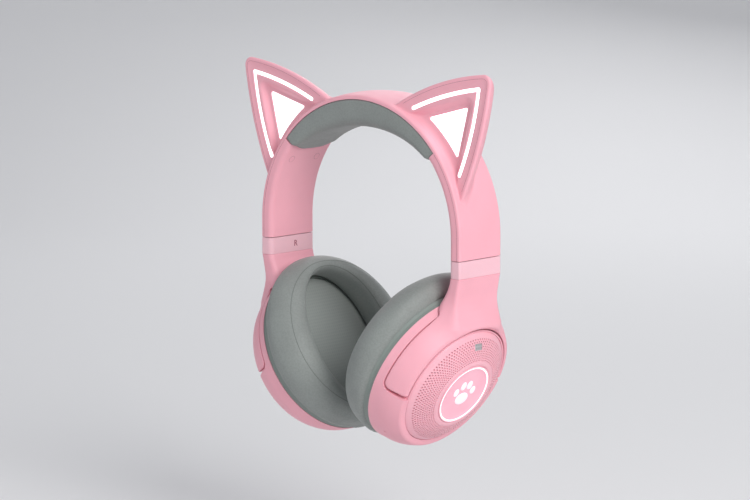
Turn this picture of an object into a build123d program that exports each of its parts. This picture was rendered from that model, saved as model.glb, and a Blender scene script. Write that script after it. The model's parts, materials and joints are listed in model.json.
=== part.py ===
from build123d import *
from math import cos, radians, sin
import os

os.makedirs("parts", exist_ok=True)

# Millimetres. The origin is the underside of the headband pad, where the headset rests on a
# head or a stand. +X is the wearer's left, +Y is rearward and +Z is up.

# ---- driving dimensions: headband ----
band_radius = 80.0        # outer surface of the arch
band_thick = 8.4
band_depth = 37.5
arch_z = -60.5            # height of the arch's centre, where the straight legs begin
leg_end_z = -72.0
cover_thick = 2.2
liner_floor = 1.4
liner_wall = 2.2
joint_gap = 0.1           # between the cover and the liner
front_round = 3.2         # the band's inner edge at the front
rear_round = 1.3          # and its other three edges
pad_half_angle = 49.0     # the pad spans this much each side of the crown
pad_wrap = 4.4            # how far the pad's flaps lie inside the band's front and rear faces
pad_clear = 0.3

# ---- driving dimensions: ears ----
ear_toe_out = 0.026       # the ears' faces turn outward by this slope
ear_front = 16.5          # distance of the ear face in front of the band's centre plane
ear_depth = 19.0
ear_back_scale = 0.70
ear_wall = 2.2
light_stroke = 2.5
ear_root = (56.6, -4.0)   # point on the arch that the ear narrows towards

# ---- driving dimensions: sliders and yokes ----
slide_gap = 0.4
collar_height = 10.1
arm_thick = 1.0
arm_width = 14.0
arm_top_z = -38.0
arm_inner_x = 73.25
arm_clear = 0.15

# ---- driving dimensions: cups ----
cup_x = 59.8
cup_z = -150.0
cup_tilt = 27.5           # the cup's outer face looks this far below the horizontal
pivot_u = -6.0            # the tilt pivot, measured along the cup's axis
pivot_v = 5.0             # and above the cup's centre line
pivot_radius = 2.0
yoke_inner = 43.0         # inner radius of the fork
neck_radius = 42.2        # the housing where the fork wraps it
seam_radius = 50.3        # the housing where it meets the cushion's ring
seam_u = -19.3
plate_radius = 38.6
plateau_radius = 22.3
plateau_u = 8.5
cushion_radius = 54.7
cushion_round = 17.5
cushion_shift = 3.0       # the cushion sits this much above the cup's axis
cushion_base_u = -24.0
cushion_face_u = -46.8
opening_width = 33.0      # half of the ear opening, front to rear
opening_height = 42.0     # half of the ear opening, up and down
driver_radius = 20.0

inner_radius = band_radius - band_thick
cover_inner = band_radius - cover_thick
liner_outer = cover_inner - joint_gap
hollow_inner = inner_radius + liner_floor
half_depth = band_depth / 2

tilt = radians(cup_tilt)
cup_centre = Vector(cup_x, 0, cup_z)
cup_out = Vector(cos(tilt), 0, -sin(tilt))     # along the cup's axis, away from the head
cup_up = Vector(sin(tilt), 0, cos(tilt))       # up in the plane of the cup's face
rear = Vector(0, 1, 0)
cup_axis = Axis(cup_centre, cup_out)
cup_face = Plane(origin=cup_centre, x_dir=rear, z_dir=cup_out)
cup_section = Plane(origin=cup_centre, x_dir=cup_up, z_dir=rear)
pivot_point = cup_centre + cup_out * pivot_u + cup_up * pivot_v
ear_face_plane = Plane(origin=(0, -ear_front, 0), x_dir=(1, ear_toe_out, 0), z_dir=(ear_toe_out, -1, 0))


def save(piece, label):
    """Label a finished piece and write its STEP file."""
    piece.part.label = label
    export_step(piece.part, f"parts/{label}.step")


def save_pair(piece, name):
    """Write a left piece and its mirror image for the right side."""
    save(piece, f"{name}_left")
    with BuildPart() as twin:
        mirror(piece.part, about=Plane.YZ)
    save(twin, f"{name}_right")


def arch_strip(outer, inner, depth, bottom):
    """Strip that follows the arch between two radii, with straight legs down to a height."""
    with BuildPart() as strip:
        with BuildSketch(Plane.XZ):
            with BuildLine():
                crown = CenterArc((0, arch_z), outer, 0, 180)
                under = CenterArc((0, arch_z), inner, 0, 180)
                Polyline(crown @ 1, (-outer, bottom), (-inner, bottom), under @ 1)
                Polyline(crown @ 0, (outer, bottom), (inner, bottom), under @ 0)
            make_face()
        extrude(amount=depth / 2, both=True)
    return strip.part


def arch_sector(outer, inner, half_angle, near, far):
    """Part of the arch about its crown, between two distances from the centre plane."""
    with BuildPart() as sector:
        with BuildSketch(Plane.XZ.offset(near)):
            with BuildLine():
                top = CenterArc((0, arch_z), outer, 90 - half_angle, 2 * half_angle)
                low = CenterArc((0, arch_z), inner, 90 - half_angle, 2 * half_angle)
                Line(top @ 0, low @ 0)
                Line(top @ 1, low @ 1)
            make_face()
        extrude(amount=far - near)
    return sector.part


def band_plane(angle, radius, y):
    """Plane on the arch at an angle from +X, facing the arch's centre."""
    inward = Vector(-cos(radians(angle)), 0, -sin(radians(angle)))
    centre = Vector(0, y, arch_z) - inward * radius
    return Plane(origin=centre, x_dir=rear, z_dir=inward)


def round_bar(plane, radius, length):
    """Cylinder that starts on a plane and runs along its normal."""
    with BuildPart() as bar:
        with BuildSketch(plane):
            Circle(radius)
        extrude(amount=length)
    return bar.part


def turned(points, angle=360):
    """Solid turned about the cup's axis from a profile of (radius, distance along the axis)."""
    with BuildPart() as solid:
        with BuildSketch(cup_section):
            with BuildLine():
                Polyline(*points, close=True)
            make_face()
        revolve(axis=cup_axis, revolution_arc=angle)
    return solid.part


def cup_direction(angle):
    """Direction in the cup's face, measured from up towards the rear."""
    return cup_up * cos(radians(angle)) + rear * sin(radians(angle))


def cup_spoke(angle, u, radius):
    """Plane that faces outward along a spoke of the cup."""
    spoke = cup_direction(angle)
    return Plane(origin=cup_centre + cup_out * u + spoke * radius, x_dir=cup_out, z_dir=spoke)


def cup_spot(angle, radius, u):
    """Plane across the cup's axis, centred on a spoke and facing away from the head."""
    return Plane(origin=cup_centre + cup_out * u + cup_direction(angle) * radius, z_dir=cup_out)


# ---------------------------------------------------------------- headband
screw_angles = (31, 149)
screw_rows = (-11.0, 11.0)
screw_spots = [(angle, y) for angle in screw_angles for y in screw_rows]
boss_radius = 3.0
screw_radius = 1.1
plug_radius = 2.1
plug_thick = 0.7

with BuildPart() as headband_cover:
    add(arch_strip(band_radius, cover_inner, band_depth, leg_end_z))
    rim = headband_cover.edges().filter_by(GeomType.CIRCLE).sort_by(lambda edge: edge.radius)[-2:]
    sides = headband_cover.edges().filter_by(Axis.Z).group_by(lambda edge: abs(edge.center().X))[-1]
    fillet(rim + sides, rear_round)
    for angle, y in screw_spots:
        add(round_bar(band_plane(angle, cover_inner + 0.5, y), boss_radius, cover_inner - hollow_inner + 0.4))
        add(round_bar(band_plane(angle, cover_inner - 0.2, y), screw_radius, 6), mode=Mode.SUBTRACT)
save(headband_cover, "headband_cover")

flap_y = half_depth - pad_wrap
with BuildPart() as headband_liner:
    add(arch_strip(liner_outer, inner_radius, band_depth, leg_end_z))
    rim = headband_liner.edges().filter_by(GeomType.CIRCLE).sort_by(lambda edge: edge.radius)[:2]
    sides = headband_liner.edges().filter_by(Axis.Z).group_by(lambda edge: abs(edge.center().X))[0]
    inner_edges = (rim + sides).group_by(Axis.Y)
    fillet(inner_edges[0], front_round)
    fillet(inner_edges[-1], rear_round)
    add(arch_strip(liner_outer + 1, hollow_inner, band_depth - 2 * liner_wall, leg_end_z - 1),
        mode=Mode.SUBTRACT)
    for face in (-1, 1):
        add(arch_sector(liner_outer, hollow_inner - 0.5, pad_half_angle + 3, face * (flap_y - liner_wall),
                        face * flap_y))
        add(arch_sector(liner_outer + 1, inner_radius - 1, pad_half_angle + 0.9, face * flap_y, face * 30),
            mode=Mode.SUBTRACT)
    for angle, y in screw_spots:
        add(round_bar(band_plane(angle, hollow_inner + 1, y), screw_radius + 0.2, 6), mode=Mode.SUBTRACT)
        add(round_bar(band_plane(angle, inner_radius + plug_thick, y), plug_radius, 3), mode=Mode.SUBTRACT)
save(headband_liner, "headband_liner")

with BuildPart() as spring_band:
    add(arch_sector(77.0, 76.2, 68, -4.5, 4.5))
save(spring_band, "spring_band")

with BuildPart() as headband_screws:
    for angle, y in screw_spots:
        add(round_bar(band_plane(angle, 77.0, y), screw_radius, 77.0 - inner_radius - plug_thick))
save(headband_screws, "headband_screws")

with BuildPart() as screw_plugs:
    for angle, y in screw_spots:
        add(round_bar(band_plane(angle, inner_radius + plug_thick - 0.05, y), plug_radius - 0.05, plug_thick))
save(screw_plugs, "screw_plugs")

# The pad: a crown under the liner with a flap up each side of it, and a stiff plate in its back.
stay_half = 12.0
stay_thick = 1.2
pad_end = (51.4, -15.4)
with BuildPart() as headband_pad:
    with BuildSketch(Plane.XZ):
        with BuildLine():
            top = CenterArc((0, arch_z), liner_outer, 90 - pad_half_angle + 0.3, 2 * pad_half_angle - 0.6)
            Line(top @ 0, pad_end)
            Line(top @ 1, (-pad_end[0], pad_end[1]))
            ThreePointArc(pad_end, (0, 0), (-pad_end[0], pad_end[1]))
        make_face()
    extrude(amount=half_depth, both=True)
    add(arch_sector(liner_outer + 1, inner_radius - pad_clear, 60, -flap_y - pad_clear, flap_y + pad_clear),
        mode=Mode.SUBTRACT)
    add(arch_sector(inner_radius, inner_radius - 2 * pad_clear - stay_thick, 40, -stay_half - pad_clear,
                    stay_half + pad_clear), mode=Mode.SUBTRACT)
save(headband_pad, "headband_pad")

with BuildPart() as pad_plate:
    add(arch_sector(inner_radius - pad_clear, inner_radius - pad_clear - stay_thick, 39, -stay_half,
                    stay_half))
save(pad_plate, "pad_plate")

# ---------------------------------------------------------------- slider guides
guide_height = 9.0
guide_foot = 0.2
with BuildPart() as slider_guide:
    with BuildSketch(Plane.XY.offset(leg_end_z + guide_foot)):
        with Locations(((hollow_inner + cover_inner) / 2, 0)):
            Rectangle(cover_inner - hollow_inner - 0.2, band_depth - 2 * liner_wall - 0.4)
        with Locations((arm_inner_x + arm_thick / 2, 0)):
            Rectangle(arm_thick + 2 * arm_clear, arm_width + 2 * arm_clear, mode=Mode.SUBTRACT)
        for y in (-11.5, 11.5):
            with Locations((75.4, y)):
                Rectangle(2.6, 5.0, mode=Mode.SUBTRACT)
    extrude(amount=guide_height)
save_pair(slider_guide, "slider_guide")

# ---------------------------------------------------------------- ears
ear_inner = (26.0, 15.5)
ear_tip = (98.0, 37.6)
ear_lower = (76.9, -38.6)
ear_tip_round = 5.5


def ear_outline(inset):
    """Outline of the ear's face, drawn a little inside itself, with its foot in the headband."""
    with BuildSketch() as outline:
        with BuildLine():
            ThreePointArc(ear_inner, (57.5, 29.8), ear_tip)
            ThreePointArc(ear_tip, (92.9, 9.0), ear_lower)
            Polyline(ear_lower, (66.0, -34.0), (22.0, 8.5), ear_inner)
        make_face()
        fillet(outline.vertices().sort_by(Axis.X)[-1], ear_tip_round)
        if inset:
            offset(amount=-inset, mode=Mode.REPLACE)
    return outline.sketch


def ear_inside(behind, inset):
    """The outline at a depth behind the ear's face, narrowed towards the ear's root."""
    factor = 1 - (1 - ear_back_scale) * behind / ear_depth
    shape = ear_outline(inset).translate(Vector(-ear_root[0], -ear_root[1], 0))
    return scale(shape, by=factor).translate(Vector(ear_root[0], ear_root[1], 0))


def ear_taper(front, back, inset):
    """Solid between two depths that narrows as the ear does."""
    ends = [ear_face_plane.offset(-behind) * ear_inside(behind, inset) for behind in (front, back)]
    return loft(ends, mode=Mode.PRIVATE)


band_core = round_bar(Plane(origin=(0, 40, arch_z), z_dir=(0, -1, 0)), band_radius, 80)
clear_core = round_bar(Plane(origin=(0, 40, arch_z), z_dir=(0, -1, 0)), band_radius + 0.2, 80)

with BuildPart() as ear_shell:
    add(ear_taper(0, ear_depth, 0))
    back = ear_shell.faces().sort_by(Axis.Y)[-1]
    fillet(back.edges(), 3.0)
    add(ear_taper(-0.5, ear_depth - ear_wall, ear_wall), mode=Mode.SUBTRACT)
    add(band_core, mode=Mode.SUBTRACT)
save_pair(ear_shell, "ear_shell")

chevron = ((40.8, 14.6), (89.8, 28.4), (75.6, -22.4))
triangle = ((49.0, 9.2), (79.3, 17.2), (71.3, -14.4))


def chevron_stroke(width):
    """The bent light line near the ear's edge."""
    upper = ThreePointArc(chevron[0], (65.2, 23.2), chevron[1])
    lower = ThreePointArc(chevron[1], (84.6, 3.0), chevron[2])
    with BuildSketch() as stroke:
        SlotArc(upper, width)
        SlotArc(lower, width)
    return stroke.sketch


def triangle_light(grow):
    """The triangular light, whose foot follows the arch."""
    with BuildSketch() as shape:
        with BuildLine():
            Line(triangle[0], triangle[1])
            Line(triangle[1], triangle[2])
            RadiusArc(triangle[0], triangle[2], 85.6)
        make_face()
        fillet(shape.vertices(), 1.5)
        if grow:
            offset(amount=grow)
    return shape.sketch


def ear_slab(shape, front, back):
    """Slab of an outline between two depths behind the ear's face."""
    with BuildPart() as slab:
        with BuildSketch(ear_face_plane.offset(-front)):
            add(shape)
        extrude(amount=front - back)
    return slab.part


face_front = 0.4
face_back = 2.4
pan_depth = 3.6
pan_back = 5.0
with BuildPart() as ear_face:
    add(ear_taper(face_front, face_back, ear_wall + 0.15))
    add(ear_slab(triangle_light(5.4), face_back, pan_back))
    add(ear_slab(triangle_light(4.0), 0, pan_depth), mode=Mode.SUBTRACT)
    add(ear_slab(chevron_stroke(light_stroke), 0, 12), mode=Mode.SUBTRACT)
    add(ear_slab(triangle_light(0), 0, 12), mode=Mode.SUBTRACT)
    add(clear_core, mode=Mode.SUBTRACT)
save_pair(ear_face, "ear_face")

light_back = 5.6
with BuildPart() as ear_light:
    add(ear_slab(chevron_stroke(light_stroke - 0.1), face_front + 0.1, face_back - 0.4))
    add(ear_slab(triangle_light(-0.05), pan_depth + 0.3, light_back))
    add(clear_core, mode=Mode.SUBTRACT)
save_pair(ear_light, "ear_light")

led_height = 0.8
led_spots = ((58, 11), (67, 13), (75, 14), (62, 4), (72, 5), (69, -4))
led_front = light_back + 0.5
board_thick = 1.0
board_back = led_front + led_height + board_thick
with BuildPart() as ear_board:
    add(ear_slab(ear_inside(board_back, ear_wall + 1.5), led_front + led_height, board_back))
    with BuildSketch() as leds:
        with Locations(*led_spots):
            Rectangle(3.2, 2.8)
    add(ear_slab(leds.sketch, led_front, led_front + led_height))
    add(clear_core, mode=Mode.SUBTRACT)
save_pair(ear_board, "ear_board")

# ---------------------------------------------------------------- sliders
collar_top = leg_end_z - slide_gap
collar_bottom = collar_top - collar_height
band_mid_x = (band_radius + inner_radius) / 2
spigot_height = 6.0
spigot_wall = 1.8
with BuildPart() as slider_collar:
    with BuildSketch(Plane.XY.offset(collar_bottom)):
        with Locations((band_mid_x, 0)):
            Rectangle(band_thick, band_depth)
    extrude(amount=collar_height)
    uprights = slider_collar.edges().filter_by(Axis.Z).group_by(Axis.X)
    fillet(uprights[0].sort_by(Axis.Y)[:1], front_round)
    fillet(uprights[0].sort_by(Axis.Y)[-1:] + uprights[-1], rear_round)
    with BuildSketch(Plane.XY.offset(collar_bottom)):
        with Locations((band_mid_x, 0)):
            Rectangle(band_thick - 2 * spigot_wall, band_depth - 2 * spigot_wall - 2)
    extrude(amount=spigot_height, mode=Mode.SUBTRACT)
    with BuildSketch(Plane.XY.offset(collar_bottom)):
        with Locations((arm_inner_x + arm_thick / 2, 0)):
            Rectangle(arm_thick + 0.1, arm_width + 0.1)
    extrude(amount=collar_height, mode=Mode.SUBTRACT)
save_pair(slider_collar, "slider_collar")

arm_foot_z = -96.0
with BuildPart() as slider_arm:
    with BuildSketch(Plane.YZ.offset(arm_inner_x)):
        with Locations((0, (arm_top_z + arm_foot_z) / 2)):
            RectangleRounded(arm_width, arm_top_z - arm_foot_z, 1.5)
        with Locations(*[(0, arm_top_z - 5 - 4 * step) for step in range(7)]):
            SlotOverall(5.0, 1.6, mode=Mode.SUBTRACT)
    extrude(amount=arm_thick)
save_pair(slider_arm, "slider_arm")

# ---------------------------------------------------------------- yokes
def outer_wall():
    """Side view of the outer surface that the fork and the housing share, towards the cup's face."""
    wall = ThreePointArc((49.1, -13.5), (46.6, -6.0), (43.6, -1.2))
    return wall, ThreePointArc(wall @ 1, (42.6, -0.15), (41.0, 0.2))


fork_edge_u = -13.5
fork_end = -0.8           # the fork's ends, measured up from the cup's centre line
fork_corner = 4.5
fork_step_u = -1.0
fork_lip = 40.4
skin = 1.7
housing_clear = [(0, -60), (51.0, -60), (51.0, fork_edge_u), (yoke_inner, fork_edge_u),
                 (yoke_inner, fork_step_u), (fork_lip, fork_step_u), (fork_lip, 3), (0, 3)]
fork_hollow = [(yoke_inner - 1, -12.2), (47.0, -12.2), (44.9, -6.4), (44.2, -5.0), (yoke_inner - 1, -5.0)]
fork_lining = [(yoke_inner, -12.1), (44.1, -12.1), (44.1, -5.3), (yoke_inner, -5.3)]


def window(points, corner):
    """Block across the cup from a side view, with its first corner rounded."""
    with BuildPart() as block:
        with BuildSketch(cup_section) as outline:
            with BuildLine():
                Polyline(*points, close=True)
            make_face()
            fillet(outline.vertices().sort_by_distance((points[0][0], points[0][1], 0))[0], corner)
        extrude(amount=70, both=True)
    return block.part


def fork_window(end, corner):
    """Block that keeps the part of a turned ring above the fork's ends."""
    return window([(end, fork_edge_u), (80, fork_edge_u), (80, 10), (end, 10)], corner)


with BuildPart() as fork_ring:
    with BuildSketch(cup_section):
        with BuildLine():
            wall, lip = outer_wall()
            Polyline(wall @ 0, (yoke_inner, fork_edge_u), (yoke_inner, fork_step_u), (fork_lip, fork_step_u),
                     (fork_lip, 0.2), lip @ 1)
        make_face()
    revolve(axis=cup_axis)

with BuildPart() as fork_envelope:
    with BuildSketch(cup_section):
        with BuildLine():
            wall, lip = outer_wall()
            Polyline(wall @ 0, (0, fork_edge_u), (0, 0.2), lip @ 1)
        make_face()
    revolve(axis=cup_axis)


def neck_block(top):
    """The neck between the collar and the fork, drawn in side view."""
    with BuildPart() as block:
        with BuildSketch(Plane.XZ):
            with BuildLine():
                Polyline((inner_radius, top), (band_radius, top), (79.4, -84.5))
                Spline((79.4, -84.5), (77.8, -93.5), (76.7, -101.5), (77.5, -107.8))
                Polyline((77.5, -107.8), (70.0, -112.0), (62.0, -104.0), (65.2, -98.2))
                Spline((65.2, -98.2), (68.4, -91.5), (inner_radius, top))
            make_face()
        extrude(amount=half_depth, both=True)
    return block.part


def pivot_bar(radius, near, far):
    """Round bars on the tilt axis, between two distances either side of the cup's middle."""
    with BuildPart() as bars:
        for face in (-1, 1):
            spot = pivot_point + rear * (face * near)
            add(round_bar(Plane(origin=spot, x_dir=cup_up, z_dir=rear * face), radius, far - near))
    return bars.part


clear_housing = turned(housing_clear)
pin_outer = 45.0
boss_size = 3.8
with BuildPart() as yoke_shell:
    add(neck_block(collar_bottom))
    add(clear_housing, mode=Mode.SUBTRACT)
    add(fork_ring.part & fork_window(fork_end, fork_corner))
    add(turned(fork_hollow) & fork_window(fork_end + skin, fork_corner - skin), mode=Mode.SUBTRACT)
    with BuildSketch(Plane.XY.offset(collar_bottom)):
        with Locations((arm_inner_x + arm_thick / 2, 0)):
            Rectangle(arm_thick + 0.1, arm_width + 0.1)
    extrude(amount=arm_foot_z - collar_bottom - 0.1, mode=Mode.SUBTRACT)
    add(pivot_bar(boss_size, yoke_inner - 1, pin_outer + 1) & fork_envelope.part)
    add(clear_housing, mode=Mode.SUBTRACT)
    add(pivot_bar(pivot_radius, 30, pin_outer), mode=Mode.SUBTRACT)
save_pair(yoke_shell, "yoke_shell")

lining_ends = fork_end + skin + 0.1
yoke_screw_spots = (-64, -22, 22, 64)
yoke_screw_u = -8.6
with BuildPart() as yoke_liner:
    add(turned(fork_lining) & fork_window(lining_ends, fork_corner - skin))
    add(pivot_bar(boss_size + 0.1, 30, 60), mode=Mode.SUBTRACT)
    for angle in yoke_screw_spots:
        add(round_bar(cup_spoke(angle, yoke_screw_u, 40), 0.95, 10), mode=Mode.SUBTRACT)
save_pair(yoke_liner, "yoke_liner")

with BuildPart() as yoke_screws:
    for angle in yoke_screw_spots:
        add(round_bar(cup_spoke(angle, yoke_screw_u, yoke_inner + 0.3), 0.9, 1.4))
save_pair(yoke_screws, "yoke_screws")

pin_inner = 37.0
with BuildPart() as pivot_pins:
    add(pivot_bar(pivot_radius, pin_inner, pin_outer))
save_pair(pivot_pins, "pivot_pins")

# ---------------------------------------------------------------- cup housing
recess_gap = 0.6
recess_floor_u = -3.4
seat_radius = 39.6
seat_inner = 37.0
rebate_u = -1.4
cavity_radius = 40.2
floor_thick = 2.0
rim_u = 0.2
recess = [(neck_radius, fork_edge_u - recess_gap), (60, fork_edge_u - recess_gap), (60, 5), (seat_radius, 5),
          (seat_radius, recess_floor_u), (neck_radius, recess_floor_u)]
recess_end = (-1.7, -3.5)     # the recess's end below the fork's end, at its edge and at the cup's face
recess_edge_u = fork_edge_u - recess_gap
recess_window = window([(recess_end[0], recess_edge_u), (80, recess_edge_u), (80, 10),
                        (recess_end[1] - 1.3, 10)], fork_corner + 0.3)

button_u = -9.5
button_radius = 3.0
button_spots = {"power_button": 108.0, "volume_up_button": 124.0, "volume_down_button": 134.0}
button_proud = 0.9
light_spot = 98.0
port_spot = 180.0
mic_spot = -135.0
surface_radius = 47.9         # the housing's outer radius where the buttons are
mic_hole = 0.6
screw_circle = 44.6
wall_slope = 0.36             # the housing's wall leans towards the face here


def wall_plane(angle, depth):
    """Plane at a depth from the housing's wall, facing straight out of it."""
    spoke = cup_direction(angle)
    out = (spoke + cup_out * wall_slope).normalized()
    around = out.cross(cup_out).normalized()
    centre = cup_centre + cup_out * button_u + spoke * surface_radius
    return Plane(origin=centre + out * depth, x_dir=around, z_dir=out)


cup_screw_angles = (45, 135, 225, 315)

with BuildPart() as cup_housing:
    with BuildSketch(cup_section):
        with BuildLine():
            wall, lip = outer_wall()
            skirt = Line((seam_radius, seam_u), wall @ 0)
            Polyline(lip @ 1, (plate_radius + 0.1, rim_u), (plate_radius + 0.1, rebate_u),
                     (seat_inner, rebate_u), (seat_inner, recess_floor_u), (12, recess_floor_u),
                     (12, recess_floor_u - floor_thick), (cavity_radius, recess_floor_u - floor_thick),
                     (cavity_radius, seam_u), skirt @ 0)
        make_face()
    revolve(axis=cup_axis)
    add(pivot_bar(boss_size, pin_inner - 0.8, cavity_radius + 1))
    add(turned(recess) & recess_window, mode=Mode.SUBTRACT)
    add(pivot_bar(pivot_radius + 0.05, 30, 60), mode=Mode.SUBTRACT)
    for angle in cup_screw_angles:
        add(round_bar(cup_spot(angle, screw_circle, seam_u - 0.1), 1.1, 5), mode=Mode.SUBTRACT)

with BuildPart() as cup_housing_right:
    mirror(cup_housing.part, about=Plane.YZ)
save(cup_housing_right, "cup_housing_right")

with BuildPart() as cup_housing_left:
    add(cup_housing.part)
    for angle in button_spots.values():
        add(round_bar(wall_plane(angle, -14), button_radius + 0.15, 20), mode=Mode.SUBTRACT)
    add(round_bar(wall_plane(light_spot, -14), 0.9, 20), mode=Mode.SUBTRACT)
    add(round_bar(wall_plane(mic_spot, -14), mic_hole, 20), mode=Mode.SUBTRACT)
    with BuildSketch(wall_plane(port_spot, -14)):
        SlotOverall(9.2, 3.4)
    extrude(amount=20, mode=Mode.SUBTRACT)
save(cup_housing_left, "cup_housing_left")

# ---------------------------------------------------------------- cup face
plate_thick = 1.4
mesh_gap = 1.0
mesh_thick = 0.4
ring_outer = 20.0
ring_inner = 17.6
ring_top_u = 9.2
emblem_u = 8.6
emblem_thick = 1.6
paw_height = 0.4
paw_pads = ((0, -3.2, 5.6, 4.3), (-7.4, 1.6, 2.1, 2.9), (-2.7, 5.6, 2.2, 3.1), (2.7, 5.6, 2.2, 3.1),
            (7.4, 1.6, 2.1, 2.9))


def dome(drop, radius, hub):
    """Side view of the cup face's dome, a distance under its outer surface."""
    return ThreePointArc((radius, -drop), (31.2 - drop * 0.3, 5.1 - drop), (hub, plateau_u - drop))


with BuildPart() as cup_plate:
    with BuildSketch(cup_section):
        with BuildLine():
            top = dome(0, plate_radius, plateau_radius)
            low = dome(plate_thick, plate_radius - 1.3, plateau_radius - 0.4)
            Polyline(top @ 1, (ring_outer + 0.1, plateau_u + 0.2), (ring_outer + 0.1, plateau_u - plate_thick - 1),
                     (plateau_radius - 0.4, plateau_u - plate_thick - 1), low @ 1)
            Polyline(top @ 0, (plate_radius, rebate_u + 0.05), low @ 0)
        make_face()
    revolve(axis=cup_axis)
save_pair(cup_plate, "cup_plate")

with BuildPart() as acoustic_mesh:
    with BuildSketch(cup_section):
        with BuildLine():
            top = dome(plate_thick + mesh_gap, 36.0, plateau_radius + 1)
            low = dome(plate_thick + mesh_gap + mesh_thick, 36.0, plateau_radius + 1)
            Line(top @ 0, low @ 0)
            Line(top @ 1, low @ 1)
        make_face()
    revolve(axis=cup_axis)
save_pair(acoustic_mesh, "acoustic_mesh")

with BuildPart() as light_ring:
    add(turned([(ring_inner, ring_top_u - 2.8), (ring_outer, ring_top_u - 2.8), (ring_outer, ring_top_u - 0.5),
                (ring_outer - 0.6, ring_top_u), (ring_inner + 0.6, ring_top_u),
                (ring_inner, ring_top_u - 0.5)]))
save_pair(light_ring, "light_ring")

with BuildPart() as emblem_disc:
    with BuildSketch(cup_face.offset(emblem_u - emblem_thick)):
        Circle(ring_inner - 0.1)
    extrude(amount=emblem_thick)
    with BuildSketch(cup_face.offset(emblem_u)):
        for across, up, half_width, half_height in paw_pads:
            with Locations((across, up)):
                Ellipse(half_width, half_height)
    extrude(amount=paw_height)
save_pair(emblem_disc, "emblem_disc")

# ---------------------------------------------------------------- behind the cushion
baffle_radius = 46.4
baffle_back_u = -21.3
ring_back_u = -23.7
with BuildPart() as baffle:
    add(turned([(0, baffle_back_u), (baffle_radius, baffle_back_u), (baffle_radius, seam_u), (0, seam_u)]))
    with Locations(cup_face.offset(baffle_back_u - 1)):
        Cylinder(1.6, 10, mode=Mode.SUBTRACT)
        with PolarLocations(6.5, 6):
            Cylinder(1.6, 10, mode=Mode.SUBTRACT)
        with PolarLocations(12.5, 12):
            Cylinder(1.6, 10, mode=Mode.SUBTRACT)
    for angle in cup_screw_angles:
        add(round_bar(cup_spot(angle, screw_circle, baffle_back_u - 1), 1.2, 5), mode=Mode.SUBTRACT)
save_pair(baffle, "baffle")

with BuildPart() as cup_screws:
    for angle in cup_screw_angles:
        add(round_bar(cup_spot(angle, screw_circle, baffle_back_u - 0.9), 1.6, 0.9))
        add(round_bar(cup_spot(angle, screw_circle, baffle_back_u), 1.05, 6))
save_pair(cup_screws, "cup_screws")

with BuildPart() as driver:
    add(turned([(0, -19.0), (driver_radius, -19.0), (driver_radius, -16.8), (17.5, -15.6), (13.0, -14.2),
                (13.0, -10.6), (0, -10.6)]))
save_pair(driver, "driver")

with BuildPart() as cushion_ring:
    add(turned([(baffle_radius + 0.1, seam_u - 0.1), (49.9, seam_u - 0.1), (49.6, -21.8), (50.2, ring_back_u),
                (baffle_radius + 0.1, ring_back_u)]))
save_pair(cushion_ring, "cushion_ring")

scrim_thick = 0.5
with BuildPart() as scrim:
    with BuildSketch(cup_face.offset(ring_back_u + 0.5)):
        Circle(baffle_radius - 0.2)
    extrude(amount=scrim_thick)
save_pair(scrim, "scrim")

# The cushion's outer wall bulges past the housing and rolls over on to the face that meets the head.
cushion_roll = cushion_radius - cushion_round
with BuildPart() as ear_cushion:
    with BuildSketch(cup_section):
        with BuildLine():
            base = Line((cushion_shift, cushion_base_u), (cushion_shift + 47.5, cushion_base_u))
            bulge = ThreePointArc(base @ 1, (cushion_shift + 52.3, -25.6),
                                  (cushion_shift + cushion_radius, cushion_face_u + cushion_round))
            roll = RadiusArc(bulge @ 1, (cushion_shift + cushion_roll, cushion_face_u), cushion_round)
            Polyline(roll @ 1, (cushion_shift, cushion_face_u), base @ 0)
        make_face()
    revolve(axis=Axis(cup_centre + cup_up * cushion_shift, cup_out))
    with BuildSketch(cup_face.offset(cushion_face_u - 1)):
        with Locations((0, cushion_shift)):
            Ellipse(opening_width, opening_height)
    extrude(amount=30, mode=Mode.SUBTRACT)
save_pair(ear_cushion, "ear_cushion")

# ---------------------------------------------------------------- electronics
board_u = -8.2
with BuildPart() as main_board:
    with BuildSketch(cup_face.offset(board_u)):
        RectangleRounded(46, 34, 3)
    extrude(amount=1.2)
    with BuildSketch(cup_face.offset(board_u - 1.4)):
        with Locations((-12, 6), (10, 10)):
            Rectangle(7, 7)
        with Locations((12, -6), (-2, -10)):
            Rectangle(5, 4)
    extrude(amount=1.4)
save(main_board, "main_board")

battery_size = (34, 26, 4.2)
with BuildPart() as battery_left:
    with BuildSketch(cup_face.offset(board_u - 1.5)):
        RectangleRounded(battery_size[0], battery_size[1], 2)
    extrude(amount=battery_size[2])
with BuildPart() as battery:
    mirror(battery_left.part, about=Plane.YZ)
save(battery, "battery")

cap_height = 4.0
stem_length = 5.0
for name, angle in button_spots.items():
    with BuildPart() as button:
        add(round_bar(wall_plane(angle, button_proud - cap_height), button_radius, cap_height))
        top_face = button.faces().sort_by(Axis(cup_centre, wall_plane(angle, 0).z_dir))[-1]
        fillet(top_face.edges(), 0.5)
        add(round_bar(wall_plane(angle, button_proud - cap_height - stem_length), 1.2, stem_length))
    save(button, name)

with BuildPart() as status_light:
    add(round_bar(wall_plane(light_spot, -4), 0.85, 4.1))
save(status_light, "status_light")

with BuildPart() as usb_port:
    with BuildSketch(wall_plane(port_spot, -8.0)):
        SlotOverall(8.9, 3.1)
    extrude(amount=7.4)
    with BuildSketch(wall_plane(port_spot, -7.0)):
        SlotOverall(8.3, 2.5)
    extrude(amount=7, mode=Mode.SUBTRACT)
    with BuildSketch(wall_plane(port_spot, -7.2)):
        Rectangle(6.6, 0.7)
    extrude(amount=5.4)
save(usb_port, "usb_port")

with BuildPart() as microphone:
    with BuildSketch(cup_spoke(mic_spot, button_u - 2.0, cavity_radius - 2.2)):
        Rectangle(4.0, 3.0)
    extrude(amount=1.4)
save(microphone, "microphone")
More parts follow.
